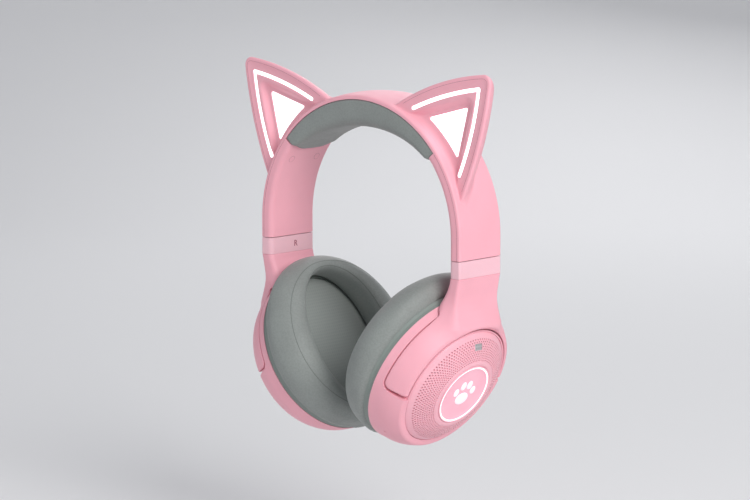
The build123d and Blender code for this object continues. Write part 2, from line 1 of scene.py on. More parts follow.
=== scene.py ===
import json
from math import atan2, cos, hypot, pi, radians, sin, sqrt

import bmesh
import bpy
import numpy as np
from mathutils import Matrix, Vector
from mathutils.bvhtree import BVHTree

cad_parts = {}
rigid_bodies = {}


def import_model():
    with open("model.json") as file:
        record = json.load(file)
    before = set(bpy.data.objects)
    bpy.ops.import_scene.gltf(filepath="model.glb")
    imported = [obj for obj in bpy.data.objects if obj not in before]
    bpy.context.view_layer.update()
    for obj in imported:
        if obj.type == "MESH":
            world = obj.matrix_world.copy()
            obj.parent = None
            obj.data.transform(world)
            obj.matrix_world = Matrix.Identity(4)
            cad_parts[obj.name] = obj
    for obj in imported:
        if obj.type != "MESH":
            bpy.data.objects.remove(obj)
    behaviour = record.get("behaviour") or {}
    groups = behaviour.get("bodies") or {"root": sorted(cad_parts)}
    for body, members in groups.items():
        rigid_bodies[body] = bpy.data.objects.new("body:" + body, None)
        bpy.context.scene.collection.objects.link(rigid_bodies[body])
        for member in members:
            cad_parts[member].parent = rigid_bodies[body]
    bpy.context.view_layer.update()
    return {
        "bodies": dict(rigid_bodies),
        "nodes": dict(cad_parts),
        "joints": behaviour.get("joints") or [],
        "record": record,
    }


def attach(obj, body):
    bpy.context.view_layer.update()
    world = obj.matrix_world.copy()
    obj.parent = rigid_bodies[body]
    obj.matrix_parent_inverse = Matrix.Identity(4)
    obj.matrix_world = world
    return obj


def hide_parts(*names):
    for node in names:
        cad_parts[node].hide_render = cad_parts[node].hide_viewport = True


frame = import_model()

nodes = frame["nodes"]
MM = 0.001

# ---------- the design's driving sizes, in mm
ARCH_Z = -60.5  # height of the headband arch's centre
BAND_RADIUS = 80.0  # outer radius of the arch
BAND_INNER = 71.6  # inner radius of the arch
BAND_HALF = 18.75  # half the headband's width, front to rear
LEG_END = -72.0  # where the headband's legs end
COLLAR_BOTTOM = -82.5
CUP = np.array((59.8, 0.0, -150.0))  # centre of the left cup's outer face
TILT = radians(27.5)
OUT = np.array((cos(TILT), 0.0, -sin(TILT)))  # along the cup's axis, away from the head
UP = np.array((sin(TILT), 0.0, cos(TILT)))  # up in the plane of the cup's face
REAR = np.array((0.0, 1.0, 0.0))
SIDES = (("left", 1), ("right", -1))


# ---------- camera, floor and light
CAMERA_AZIMUTH, CAMERA_ELEVATION = radians(42.25), radians(8.2)
CAMERA_DISTANCE = 1.9
CAMERA_TARGET = (-0.0031, 0.0, -0.075)
LENS, SENSOR = 151.9, 36.0  # mm
FLOOR_Z = -0.27


def aim(thing, place, target):
    """Put a camera or light somewhere and point it at a target."""
    thing.location = place
    thing.rotation_euler = (Vector(target) - Vector(place)).to_track_quat("-Z", "Y").to_euler()


def make_camera():
    level = cos(CAMERA_ELEVATION)
    back = Vector((sin(CAMERA_AZIMUTH) * level, -cos(CAMERA_AZIMUTH) * level,
                   sin(CAMERA_ELEVATION)))
    camera = bpy.data.objects.new("camera", bpy.data.cameras.new("camera"))
    camera.data.lens = LENS
    camera.data.sensor_width = SENSOR
    camera.data.clip_end = 20.0
    bpy.context.collection.objects.link(camera)
    aim(camera, Vector(CAMERA_TARGET) + back * CAMERA_DISTANCE, CAMERA_TARGET)
    bpy.context.scene.camera = camera


def area_light(name, place, size, power, colour=(1.0, 1.0, 1.0)):
    """A round soft light, aimed at the headset."""
    data = bpy.data.lights.new(name, "AREA")
    data.shape = "DISK"
    data.size = size
    data.energy = power
    data.color = colour
    light = bpy.data.objects.new(name, data)
    bpy.context.collection.objects.link(light)
    aim(light, place, (0.0, 0.0, -0.08))


def make_stage():
    """A plain floor that bends up into a wall behind the headset, square to the camera."""
    half_width, near, far, bend, height = 6.0, -3.0, 2.4, 0.9, 4.5
    profile = [(near, FLOOR_Z), (far - bend, FLOOR_Z)]
    for step in range(1, 13):
        turn = pi / 2 * step / 12
        profile.append((far - bend + bend * sin(turn), FLOOR_Z + bend * (1 - cos(turn))))
    profile.append((far, height))
    verts = [(side * half_width, y, z) for y, z in profile for side in (-1, 1)]
    faces = [(2 * i, 2 * i + 1, 2 * i + 3, 2 * i + 2) for i in range(len(profile) - 1)]
    mesh = bpy.data.meshes.new("backdrop")
    mesh.from_pydata(verts, [], faces)
    mesh.shade_smooth()
    backdrop = bpy.data.objects.new("backdrop", mesh)
    backdrop.rotation_euler.z = CAMERA_AZIMUTH
    bpy.context.collection.objects.link(backdrop)
    paper = bpy.data.materials.new("backdrop_paper")
    paper.use_nodes = True
    shader = paper.node_tree.nodes["Principled BSDF"]
    shader.inputs["Base Color"].default_value = (0.78, 0.78, 0.79, 1.0)
    shader.inputs["Roughness"].default_value = 0.9
    mesh.materials.append(paper)


def make_lights():
    area_light("key", (1.6, -0.55, 0.75), 1.0, 25.5, (1.0, 0.985, 0.97))
    area_light("fill", (-1.3, -1.6, 0.4), 1.6, 7.0)
    area_light("top", (0.1, 0.3, 1.7), 1.4, 8.0)
    area_light("rear", (-0.9, 1.5, 0.7), 1.3, 8.0)
    world = bpy.data.worlds.new("studio")
    world.use_nodes = True
    world.node_tree.nodes["Background"].inputs["Color"].default_value = (0.9, 0.93, 1.0, 1.0)
    world.node_tree.nodes["Background"].inputs["Strength"].default_value = 0.32
    bpy.context.scene.world = world


make_camera()
make_stage()
make_lights()
bpy.context.scene.view_settings.view_transform = "Standard"


# ---------- materials
class Shader:
    """A Principled material that is built up node by node."""

    def __init__(self, name, colour, roughness):
        self.material = bpy.data.materials.new(name)
        self.material.use_nodes = True
        self.tree = self.material.node_tree
        self.surface = self.tree.nodes["Principled BSDF"]
        self.surface.inputs["Base Color"].default_value = (*colour, 1.0)
        self.surface.inputs["Roughness"].default_value = roughness
        self.place = self.tree.nodes.new("ShaderNodeTexCoord").outputs["Object"]
        self.colour = colour
        self.bump = None

    def node(self, kind, **values):
        made = self.tree.nodes.new(kind)
        for key, value in values.items():
            setattr(made, key, value)
        return made

    def link(self, start, end):
        self.tree.links.new(start, end)

    def noise(self, size, detail=2.0):
        """Noise whose features are about this many mm across."""
        texture = self.node("ShaderNodeTexNoise")
        texture.inputs["Scale"].default_value = 1000.0 / size
        texture.inputs["Detail"].default_value = detail
        self.link(self.place, texture.inputs["Vector"])
        return texture.outputs["Fac"]

    def cells(self, size):
        """Rounded cells about this many mm across."""
        texture = self.node("ShaderNodeTexVoronoi", feature="SMOOTH_F1")
        texture.inputs["Scale"].default_value = 1000.0 / size
        self.link(self.place, texture.inputs["Vector"])
        return texture.outputs["Distance"]

    def ramp(self, source, low, high, start, end):
        """Map a value from one range to another."""
        mapped = self.node("ShaderNodeMapRange")
        limits = {"From Min": low, "From Max": high, "To Min": start, "To Max": end}
        for name, value in limits.items():
            mapped.inputs[name].default_value = value
        self.link(source, mapped.inputs["Value"])
        return mapped.outputs["Result"]

    def tint(self, source, low, high, amount, other):
        """Mix another colour in, as far as a pattern and an amount say."""
        mix = self.node("ShaderNodeMix", data_type="RGBA")
        self.link(self.ramp(source, low, high, 0.0, amount), mix.inputs["Factor"])
        sockets = [s for s in mix.inputs if s.type == "RGBA"]
        linked = self.surface.inputs["Base Color"].links
        if linked:
            self.link(linked[0].from_socket, sockets[0])
        else:
            sockets[0].default_value = (*self.colour, 1.0)
        sockets[1].default_value = (*other, 1.0)
        result = [s for s in mix.outputs if s.type == "RGBA"][0]
        self.link(result, self.surface.inputs["Base Color"])
        return self

    def vary_roughness(self, source, low, high):
        """Let a pattern move the roughness between two values."""
        self.link(self.ramp(source, 0.3, 0.7, low, high), self.surface.inputs["Roughness"])
        return self

    def raise_by(self, source, height, strength=1.0):
        """Bump the surface by a pattern, with a height in mm."""
        bump = self.node("ShaderNodeBump")
        bump.inputs["Strength"].default_value = strength
        bump.inputs["Distance"].default_value = height * MM
        self.link(source, bump.inputs["Height"])
        if self.bump:
            self.link(self.bump.outputs["Normal"], bump.inputs["Normal"])
        self.bump = bump
        self.link(bump.outputs["Normal"], self.surface.inputs["Normal"])
        return self

    def set(self, **values):
        """Set plain values on the shader's own sockets; _ stands for a space in a socket's name."""
        for name, value in values.items():
            self.surface.inputs[name.replace("_", " ")].default_value = value
        return self

    def glow(self, colour, strength):
        self.surface.inputs["Emission Color"].default_value = (*colour, 1.0)
        self.surface.inputs["Emission Strength"].default_value = strength
        return self


def moulded(name, colour, roughness, grain=0.03, coat=0.0):
    """Moulded plastic with a fine spark-eroded grain and slight unevenness."""
    shader = Shader(name, colour, roughness)
    shade = tuple(c * 0.86 for c in colour)
    shader.tint(shader.noise(26.0, 3.0), 0.35, 0.75, 0.35, shade)
    shader.vary_roughness(shader.noise(7.0, 4.0), roughness - 0.05, roughness + 0.07)
    shader.raise_by(shader.noise(0.55, 3.0), grain, 0.55)
    shader.set(Specular_IOR_Level=0.42, Subsurface_Weight=0.06,
               Subsurface_Radius=(0.004, 0.0016, 0.0014))
    if coat:
        shader.set(Coat_Weight=coat, Coat_Roughness=0.18)
    return shader.material


def leatherette(name, colour):
    """Soft protein leather: pebble grain with fine creases between the pebbles."""
    shader = Shader(name, colour, 0.56)
    shader.tint(shader.noise(18.0, 4.0), 0.3, 0.75, 0.5, tuple(c * 0.78 for c in colour))
    pebbles = shader.cells(0.95)
    shader.tint(pebbles, 0.25, 0.65, 0.22, tuple(c * 0.6 for c in colour))
    shader.vary_roughness(shader.noise(3.0, 5.0), 0.48, 0.64)
    shader.raise_by(shader.noise(5.0, 4.0), 0.25, 0.35)
    shader.raise_by(pebbles, 0.12, 0.5)
    shader.set(Specular_IOR_Level=0.38, Sheen_Weight=0.12, Sheen_Roughness=0.5)
    return shader.material


def knitted(name, colour, pitch=0.9, contrast=0.6):
    """Open knit of the scrim and the acoustic mesh: crossed rows of stitches."""
    shader = Shader(name, colour, 0.85)
    rows = []
    for direction in ("Y", "Z"):
        wave = shader.node("ShaderNodeTexWave", wave_type="BANDS", bands_direction=direction)
        wave.inputs["Scale"].default_value = 1000.0 / pitch / (2 * pi) * 0.5
        wave.inputs["Distortion"].default_value = 0.6
        shader.link(shader.place, wave.inputs["Vector"])
        rows.append(wave.outputs["Fac"])
    cross = shader.node("ShaderNodeMath", operation="MULTIPLY")
    shader.link(rows[0], cross.inputs[0])
    shader.link(rows[1], cross.inputs[1])
    shader.tint(cross.outputs["Value"], 0.0, 0.6, contrast, tuple(c * 0.45 for c in colour))
    shader.raise_by(cross.outputs["Value"], 0.2 * contrast, 0.8)
    shader.set(Sheen_Weight=0.25)
    return shader.material


def metal(name, colour, roughness):
    """Drawn or plated metal with faint stains and a fine grain."""
    shader = Shader(name, colour, roughness)
    shader.tint(shader.noise(4.0, 5.0), 0.35, 0.7, 0.3, tuple(c * 0.8 for c in colour))
    shader.raise_by(shader.noise(0.4, 2.0), 0.01, 0.4)
    shader.set(Metallic=1.0)
    return shader.material


def lit(name, colour, strength, base=(0.92, 0.9, 0.91)):
    """Milky light guide with its light on, a little uneven over the lamps behind it; on a part with
    no lamp its faint emission is painted glow.
    """
    shader = Shader(name, base, 0.35)
    shader.tint(shader.noise(9.0, 1.0), 0.35, 0.75, 0.12, (1.0, 0.86, 0.9))
    shader.raise_by(shader.noise(0.8, 2.0), 0.01, 0.3)
    shader.glow(colour, strength)
    return shader.material


PINK = (0.92, 0.44, 0.52)
materials = {
    "pink": moulded("pink_soft_touch", PINK, 0.5),
    "collar": moulded("collar_pale_pink", (0.90, 0.54, 0.61), 0.34, grain=0.008, coat=0.25),
    "plate": moulded("plate_pink", (0.93, 0.48, 0.56), 0.42, grain=0.015),
    "button": moulded("button_pink", (0.82, 0.33, 0.42), 0.4, grain=0.01),
    "inner": moulded("inner_charcoal", (0.045, 0.045, 0.048), 0.55),
    "ring": moulded("cushion_ring_grey", (0.25, 0.29, 0.27), 0.5),
    "leather": leatherette("grey_leatherette", (0.275, 0.30, 0.287)),
    "scrim": knitted("scrim_knit", (0.30, 0.33, 0.315), 0.45, 0.12),
    "mesh": knitted("acoustic_mesh", (0.08, 0.02, 0.03), 0.5),
    "gap": moulded("parting_line", (0.45, 0.16, 0.21), 0.6),
    "steel": metal("spring_steel", (0.55, 0.55, 0.57), 0.32),
    "port": metal("port_shell", (0.42, 0.42, 0.44), 0.28),
    "board": moulded("circuit_board", (0.02, 0.11, 0.05), 0.35),
    "pouch": metal("battery_pouch", (0.6, 0.61, 0.63), 0.4),
    "lit_white": lit("ear_light", (1.0, 0.93, 0.95), 1.15),
    "lit_pink": lit("ring_light", (1.0, 0.80, 0.86), 0.8),
    # The emblem and its paw have no lamp behind them: their faint emission is painted glow that
    # lightens the plastic.
    "emblem": lit("emblem_painted_glow", (1.0, 0.36, 0.5), 0.12, (0.90, 0.46, 0.56)),
    "paw": lit("paw_painted_glow", (1.0, 0.85, 0.9), 0.35, (0.90, 0.72, 0.77)),
    "weave": knitted("port_weave", (0.42, 0.42, 0.43), 0.5),
    "thread": leatherette("seam_thread", (0.17, 0.19, 0.18)),
}

NODE_MATERIALS = {
    "headband_cover": "pink", "headband_liner": "pink", "spring_band": "steel",
    "headband_screws": "steel", "screw_plugs": "pink", "headband_pad": "leather",
    "pad_plate": "inner", "slider_guide": "inner", "ear_shell": "pink", "ear_face": "pink",
    "ear_light": "lit_white", "ear_board": "board", "slider_collar": "collar",
    "slider_arm": "steel", "yoke_shell": "pink", "yoke_liner": "pink", "yoke_screws": "steel",
    "pivot_pins": "steel", "cup_housing": "pink", "cup_plate": "plate", "acoustic_mesh": "mesh",
    "light_ring": "lit_pink", "emblem_disc": "collar", "baffle": "inner", "cup_screws": "steel",
    "driver": "inner", "cushion_ring": "ring", "scrim": "scrim", "ear_cushion": "leather",
    "main_board": "board", "battery": "pouch", "power_button": "button",
    "volume_up_button": "button", "volume_down_button": "button", "status_light": "lit_white",
    "usb_port": "port", "microphone": "inner",
}
for name, node in nodes.items():
    material = materials[NODE_MATERIALS[name.removesuffix("_left").removesuffix("_right")]]
    node.data.materials.clear()
    node.data.materials.append(material)


# ---------- solids from distance fields
def smooth_min(a, b, width):
    """Union of two fields, blended where they come together."""
    share = np.clip(0.5 + 0.5 * (b - a) / width, 0.0, 1.0)
    return b + (a - b) * share - width * share * (1.0 - share)


def smooth_max(a, b, width):
    """Intersection of two fields, blended in the same way."""
    return -smooth_min(-a, -b, width)


def round_max(a, b, radius):
    """Intersection of two fields with its edge rounded."""
    beyond = np.hypot(np.maximum(a + radius, 0), np.maximum(b + radius, 0))
    return np.minimum(np.maximum(a, b), -radius) + beyond


def ease(value, start, end):
    """0 before start, 1 after end, and smooth between."""
    share = np.clip((value - start) / (end - start), 0.0, 1.0)
    return share * share * (3.0 - 2.0 * share)


def outline_distance(outline, x, y, closed=True):
    """Distance to a line through points; for a closed outline it is negative inside."""
    points = np.asarray(outline, float)
    ends = np.roll(points, -1, axis=0)
    if not closed:
        points, ends = points[:-1], ends[:-1]
    nearest = np.full(x.shape, 1e9)
    inside = np.zeros(x.shape, bool)
    for (x0, y0), (x1, y1) in zip(points, ends):
        dx, dy = x1 - x0, y1 - y0
        along = np.clip(((x - x0) * dx + (y - y0) * dy) / (dx * dx + dy * dy), 0.0, 1.0)
        nearest = np.minimum(nearest, (x - x0 - along * dx) ** 2 + (y - y0 - along * dy) ** 2)
        if closed and dy:
            inside ^= ((y0 > y) != (y1 > y)) & (x < x0 + (y - y0) * dx / dy)
    return np.where(inside, -1.0, 1.0) * np.sqrt(nearest)


def circle_through(a, b, c):
    """Centre and radius of the circle through three points."""
    (ax, ay), (bx, by), (cx, cy) = a, b, c
    twice = 2 * (ax * (by - cy) + bx * (cy - ay) + cx * (ay - by))
    sa, sb, sc = ax * ax + ay * ay, bx * bx + by * by, cx * cx + cy * cy
    x = (sa * (by - cy) + sb * (cy - ay) + sc * (ay - by)) / twice
    y = (sa * (cx - bx) + sb * (ax - cx) + sc * (bx - ax)) / twice
    return (x, y), hypot(ax - x, ay - y)


def arc_points(a, b, c, count=12):
    """Points along the arc from a through b to c."""
    (x, y), radius = circle_through(a, b, c)
    start, middle, end = (atan2(p[1] - y, p[0] - x) for p in (a, b, c))
    turn = (end - start) % (2 * pi)
    if (middle - start) % (2 * pi) > turn:
        turn -= 2 * pi
    return [(x + radius * cos(start + turn * i / count), y + radius * sin(start + turn * i / count))
            for i in range(count + 1)]


def skin(field, low, high, step):
    """Points and faces where a field is zero, inside a box, by a grid of cells."""
    axes = [np.arange(a, b + step, step) for a, b in zip(low, high)]
    grid = np.stack(np.meshgrid(*axes, indexing="ij"), -1)
    value = field(grid.reshape(-1, 3)).reshape(grid.shape[:3])
    for axis in range(3):
        sides = np.moveaxis(value, axis, 0)
        sides[0], sides[-1] = np.maximum(sides[0], 0.1), np.maximum(sides[-1], 0.1)
    inside = value < 0
    cells = np.array(value.shape) - 1
    size = int(np.prod(cells))
    total, count, faces = np.zeros((size, 3)), np.zeros(size), []
    for axis in range(3):
        low_end, high_end = [slice(None)] * 3, [slice(None)] * 3
        low_end[axis], high_end[axis] = slice(None, -1), slice(1, None)
        low_end, high_end = tuple(low_end), tuple(high_end)
        crossed = inside[low_end] != inside[high_end]
        a, b = value[low_end][crossed], value[high_end][crossed]
        place = grid[low_end][crossed]
        place[:, axis] += step * a / (a - b)
        corner = np.argwhere(crossed)
        ring = []
        for first, second in ((-1, -1), (0, -1), (0, 0), (-1, 0)):
            cell = corner.copy()
            cell[:, (axis + 1) % 3] += first
            cell[:, (axis + 2) % 3] += second
            ring.append(np.ravel_multi_index(tuple(cell.T), tuple(cells)))
        for cell in ring:
            count += np.bincount(cell, minlength=size)
            for k in range(3):
                total[:, k] += np.bincount(cell, weights=place[:, k], minlength=size)
        quads = np.stack(ring, 1)
        faces.append(np.where(inside[low_end][crossed][:, None], quads, quads[:, ::-1]))
    used = np.flatnonzero(count)
    number = np.zeros(size, int)
    number[used] = np.arange(len(used))
    points = total[used] / count[used][:, None]
    small = 0.02 * step
    for _ in range(3):  # pull the points onto the surface
        value = field(points)
        slope = np.stack([(field(points + small * unit) - value) / small for unit in np.eye(3)], 1)
        move = value[:, None] * slope / np.maximum((slope ** 2).sum(1), 0.2)[:, None]
        points -= np.clip(move, -0.4 * step, 0.4 * step)
    return points, number[np.concatenate(faces)]


def cup_points(v, u, h):
    """Points given up the cup's face, along its axis and rearward."""
    v, u, h = (np.asarray(k, float).reshape(-1, 1) for k in (v, u, h))
    return CUP + u * OUT + v * UP + h * REAR


def make_piece(name, points, faces, material, sign=1, sharp=None):
    """Mesh from points in mm; sign -1 gives the mirror image for the right side."""
    points = np.array(points, float) * MM
    points[:, 0] *= sign
    mesh = bpy.data.meshes.new(name)
    mesh.from_pydata(points.tolist(), [], [list(face) for face in faces])
    form = bmesh.new()
    form.from_mesh(mesh)
    bmesh.ops.remove_doubles(form, verts=form.verts, dist=1e-6)
    bmesh.ops.recalc_face_normals(form, faces=form.faces)
    form.to_mesh(mesh)
    form.free()
    mesh.shade_smooth()
    if sharp:
        mesh.set_sharp_from_angle(angle=radians(sharp))
    mesh.materials.append(material)
    piece = bpy.data.objects.new(name, mesh)
    bpy.context.collection.objects.link(piece)
    return piece


def settle(piece, body, slot, *replaced):
    """Fix a finished piece to its body and hide the CAD nodes that it stands for."""
    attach(piece, body)
    if replaced:
        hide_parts(*replaced)


def turned(profile, segments=192):
    """Points and faces of a closed (radius, distance along) profile turned about the cup's axis."""
    count = len(profile)
    angle = np.linspace(0, 2 * pi, segments, endpoint=False)
    radius, along = np.array(profile).T
    v = radius[None, :] * np.cos(angle)[:, None]
    h = radius[None, :] * np.sin(angle)[:, None]
    u = np.broadcast_to(along[None, :], v.shape)
    points = cup_points(v.ravel(), u.ravel(), h.ravel())
    faces = []
    for i in range(segments):
        j = (i + 1) % segments
        for k in range(count):
            n = (k + 1) % count
            faces.append((i * count + k, i * count + n, j * count + n, j * count + k))
    return points, faces


def tube(points, radius, sides=8):
    """Points and faces of a closed thin tube along a loop of points."""
    loop = np.asarray(points, float)
    ahead = np.roll(loop, -1, 0) - np.roll(loop, 1, 0)
    ahead /= np.linalg.norm(ahead, axis=1)[:, None]
    aside = np.cross(ahead, np.array((0.12, 0.31, 0.95)))
    aside /= np.linalg.norm(aside, axis=1)[:, None]
    above = np.cross(aside, ahead)
    turn = 2 * pi * np.arange(sides) / sides
    ring = loop[:, None] + radius * (np.cos(turn)[None, :, None] * aside[:, None]
                                     + np.sin(turn)[None, :, None] * above[:, None])
    faces = []
    for i in range(len(loop)):
        j = (i + 1) % len(loop)
        for k in range(sides):
            n = (k + 1) % sides
            faces.append((i * sides + k, i * sides + n, j * sides + n, j * sides + k))
    return ring.reshape(-1, 3), faces


# ---------- yokes
# Outlines in the cup's own frame are pairs of (radius, distance along the axis).
FORK_EDGE_U = -13.5  # the fork's edge nearest the head
FORK_END_V, FORK_CORNER = -0.8, 4.5  # where the fork's arms end, and their corner radius
FRONT_ROUND, REAR_ROUND = 3.2, 1.3  # the band's inner front edge, and its other edges
NECK_ROUND = 3.0  # further rounding of the neck near the fork
NECK_BLEND = 13.0  # width of the blend between neck and fork
JOINT_GAP = 0.08  # between neck and collar
WALL = arc_points((49.1, -13.5), (46.6, -6.0), (43.6, -1.2), 10)
WALL += arc_points(WALL[-1], (42.6, -0.15), (41.0, 0.2), 5)[1:]
ENVELOPE = [(-30, FORK_EDGE_U)] + WALL + [(-30, 0.2)]
# The room that the cup's housing takes, and what it sweeps beside the arms' ends as it tilts.
HOUSING = [(-30, -60), (50.9, -60), (50.9, FORK_EDGE_U), (43.0, FORK_EDGE_U), (43.0, -2.9),
           (41.1, -1.2), (40.4, -1.0), (40.5, 0.1), (43.5, 3), (-30, 3)]
TILT_ROOM = [(36.0, -9.0), (43.4, -9.0), (43.4, -2.5), (42.2, -1.15), (36.0, -1.15)]
# The neck from the side, as pairs of x and z.
NECK_SIDE = [(80.0, -70.0), (80.0, -82.5), (79.4, -85.0), (78.6, -89.5), (77.7, -94.5),
             (77.0, -99.0), (76.8, -102.5), (76.8, -106.5), (77.2, -112.0), (72.0, -116.0),
             (62.0, -108.0), (64.0, -100.5), (66.6, -95.5), (69.2, -89.8), (70.8, -85.8),
             (71.6, -82.0), (71.6, -70.0)]


def side_to_cup(x, z):
    """Turn a place in the side view into up and along in the cup's own frame."""
    across, high = x - CUP[0], z - CUP[2]
    return across * UP[0] + high * UP[2], across * OUT[0] + high * OUT[2]


NECK = [side_to_cup(x, z) for x, z in NECK_SIDE]


def yoke_field(points):
    """The neck under the collar, blended into the fork round the cup."""
    v, u, h = points.T
    r = np.hypot(v, h)
    wall = outline_distance(ENVELOPE, r, u)
    x = CUP[0] + u * OUT[0] + v * UP[0]
    z = CUP[2] + u * OUT[2] + v * UP[2]
    inner = np.clip((BAND_RADIUS - x) / (BAND_RADIUS - BAND_INNER), 0, 1) * (1 - ease(h, -6.0, 6.0))
    edge = REAR_ROUND + (FRONT_ROUND - REAR_ROUND) * inner + NECK_ROUND * (1 - ease(v, 30.0, 52.0))
    neck = round_max(outline_distance(NECK, v, u), np.abs(h) - BAND_HALF, edge)
    body = smooth_min(wall, neck, NECK_BLEND)
    ends = round_max(FORK_END_V - v, FORK_EDGE_U - u, FORK_CORNER)
    body = np.where(v < 25, round_max(body, ends, 0.5), body)
    body = smooth_max(body, -outline_distance(HOUSING, r, u), 0.5)
    body = smooth_max(body, -outline_distance(TILT_ROOM, r, u) - 3.0 * ease(v, 2.0, 9.0), 0.3)
    return smooth_max(body, z - COLLAR_BOTTOM + JOINT_GAP, 0.4)


points, faces = skin(yoke_field, (-3.0, -27.0, -52.0), (72.0, 2.0, 52.0), 0.6)
points = cup_points(*points.T)
for side, sign in SIDES:
    piece = make_piece(f"yoke_{side}", points, faces, materials["pink"], sign)
    settle(piece, f"yoke_{side}", "pink_plastic", f"yoke_shell_{side}", f"yoke_liner_{side}")


# ---------- headband cover
CROWN_RISE = 1.7  # the cover is domed across its depth at the crown
COVER_INNER = 77.8


def band_top(y, x, z):
    """Outer radius of the cover; the dome fades out under the ears."""
    turn = np.abs(np.arctan2(x, z - ARCH_Z))
    fade = 1 - ease(turn, radians(28), radians(62))
    return BAND_RADIUS + CROWN_RISE * (1 - (y / BAND_HALF) ** 2) * fade


def headband_cover(steps=180, across=16, corner=5):
    """The cover's section swept round the arch and down to the ends of the legs."""
    spots = []
    for step in range(-1, steps + 2):
        turn = radians(-90 + 180 * min(max(step, 0), steps) / steps)
        x, z = sin(turn), cos(turn)
        drop = LEG_END - ARCH_Z if step in (-1, steps + 1) else 0.0
        flat = BAND_HALF - REAR_ROUND
        section = [(BAND_HALF, COVER_INNER), (-BAND_HALF, COVER_INNER)]
        for centre, start in ((-flat, 180), (flat, 90)):
            for k in range(corner + 1):
                lean = radians(start - 90 * k / corner)
                section.append((centre + REAR_ROUND * cos(lean),
                                BAND_RADIUS - REAR_ROUND + REAR_ROUND * sin(lean)))
            if centre < 0:
                section += [(-flat + 2 * flat * k / across, BAND_RADIUS) for k in range(1, across)]
        for y, radius in section:
            rise = float(band_top(y, x, z + ARCH_Z)) - BAND_RADIUS
            radius += rise * max(0.0, (radius - COVER_INNER) / (BAND_RADIUS - COVER_INNER))
            spots.append((radius * x, y, ARCH_Z + radius * z + drop))
    count = len(section)
    rings = len(spots) // count
    faces = [(r * count + k, r * count + (k + 1) % count,
              (r + 1) * count + (k + 1) % count, (r + 1) * count + k)
             for r in range(rings - 1) for k in range(count)]
    faces += [tuple(range(count)), tuple(range((rings - 1) * count, rings * count))]
    return spots, faces


cover = make_piece("band_cover", *headband_cover(), materials["pink"], sharp=40)
settle(cover, "headband", "pink_plastic", "headband_cover")

# ---------- ears
# An ear's own frame: a across, b up, and depth behind its face, which is turned a little outwards.
EAR_ORIGIN = np.array((0.0, -16.5, 0.0))
EAR_TURN = 0.026
EAR_ACROSS = np.array((1.0, EAR_TURN, 0.0)) / hypot(1.0, EAR_TURN)
EAR_FRONT = np.array((EAR_TURN, -1.0, 0.0)) / hypot(1.0, EAR_TURN)
EAR_ROOT, EAR_DEPTH = (56.6, -4.0), 19.0
EAR_NARROW = 0.35  # how much the ear shrinks towards its back
EAR_TIP_ROUND, EAR_FACE_ROUND, EAR_BACK_ROUND = 6.5, 1.5, 3.4
EAR_WALL = 2.4
HOLLOW_FRONT, HOLLOW_BACK, HOLLOW_FOOT = 5.9, 16.4, 80.8
SKIRT_BLEND = 3.2  # width of the blend between ear and band
UNDERLAP = 0.12  # how far the skirt runs under the band's surface
RIM_WIDTH = 2.4
FACE_RELIEF = 0.3  # how far the face lies behind its rim
EAR_UPPER = circle_through((26.0, 15.5), (57.5, 29.8), (99.4, 37.6))
EAR_OUTER = circle_through((99.4, 37.6), (94.2, 9.0), (77.2, -38.6))
CHEVRON = arc_points((40.8, 14.6), (65.2, 23.2), (89.8, 28.4), 7)
CHEVRON += arc_points((89.8, 28.4), (84.6, 3.0), (75.6, -22.4), 7)[1:]
CHEVRON_HALF, CHEVRON_DEEP = 1.15, 2.6  # the slot for the bent light line
TRIANGLE = ((49.0, 9.2), (79.3, 17.2), (71.3, -14.4))
TRIANGLE_FOOT, TRIANGLE_DEEP = 85.6, 6.5
TRIANGLE_ROUND, SLOT_EDGE = 1.5, 0.25
LIGHT_RECESS = 3.3  # how far the face dips round the triangle


def disc_distance(circle, a, b):
    """Distance to a circle, negative inside."""
    (x, y), radius = circle
    return np.hypot(a - x, b - y) - radius


def line_distance(start, end, a, b):
    """Distance from the line through two points, positive on its right."""
    dx, dy = end[0] - start[0], end[1] - start[1]
    return ((a - start[0]) * dy - (b - start[1]) * dx) / hypot(dx, dy)


def ear_outline(a, b):
    """Distance to the ear's outline, seen from the front."""
    return round_max(disc_distance(EAR_UPPER, a, b), disc_distance(EAR_OUTER, a, b), EAR_TIP_ROUND)


